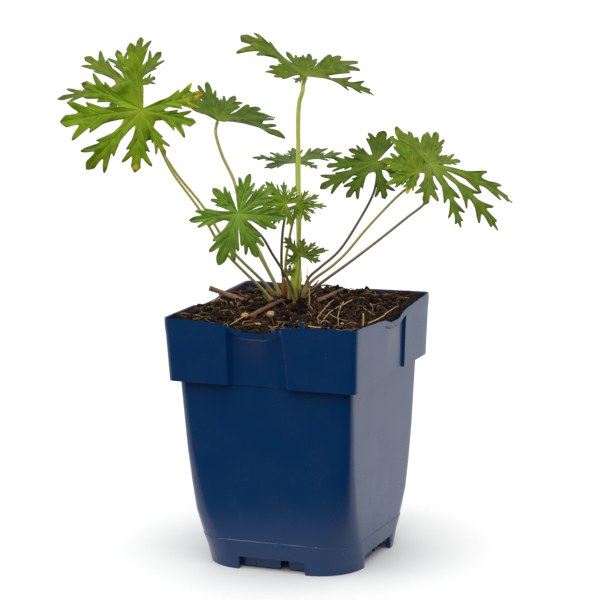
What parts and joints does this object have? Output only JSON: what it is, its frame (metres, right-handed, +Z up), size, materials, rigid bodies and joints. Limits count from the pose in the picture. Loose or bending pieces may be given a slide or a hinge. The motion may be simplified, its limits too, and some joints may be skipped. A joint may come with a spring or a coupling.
{
  "type": "hardy geranium in a pot",
  "caption": "Young hardy geranium with deeply cut palmate leaves on slender stalks, growing from a mounded crown in a square moulded nursery pot.",
  "frame": {"origin": "the middle of the bounding box at floor level, under the pot and leaves", "axes": "+Z up, the pot's front face looks along -Y and its right face along +X"},
  "size_m": [0.2254, 0.1376, 0.2855],
  "materials": {
    "pot_plastic": "smooth moulded dark navy plastic with a soft gloss",
    "compost": "loose dark fibrous potting compost",
    "crown_skin": "dull fibrous rootstock and pale sheaths",
    "stem_light": "smooth light green skin",
    "stalk_dusky": "smooth brownish purple to olive skin",
    "stalk_olive": "smooth yellowish green skin",
    "leaf": "satin mid green leaf, yellower at the veins and brown at some tips",
    "dead_stalk": "dry rough brown stalk",
    "pebble": "matt tan pebble"
  },
  "bodies": {
    "root": {"crown": "crown_skin", "stalk_a": "stalk_dusky", "blade_a": "leaf", "stalk_b": "stalk_olive", "blade_b": "leaf", "stalk_c": "stalk_dusky", "blade_c": "leaf", "stalk_d": "stalk_dusky", "blade_d": "leaf", "stalk_e": "stalk_olive", "blade_e": "leaf", "stalk_f": "stalk_olive", "blade_f": "leaf", "stalk_h": "stalk_dusky", "blade_h": "leaf", "stalk_i": "stalk_dusky", "blade_i": "leaf", "stalk_j": "stalk_olive", "blade_j": "leaf", "stalk_k": "stalk_dusky", "blade_k": "leaf", "stalk_l": "stalk_olive", "blade_l": "leaf", "stalk_m": "stalk_olive", "blade_m": "leaf", "main_stem": "stem_light", "blade_g": "leaf", "dead_stalk_left": "dead_stalk", "dead_stalk_front": "dead_stalk", "dead_stalk_right": "dead_stalk", "pebble_left": "pebble", "pebble_right": "pebble", "pot": "pot_plastic", "potting_soil": "compost"}
  },
  "joints": []
}
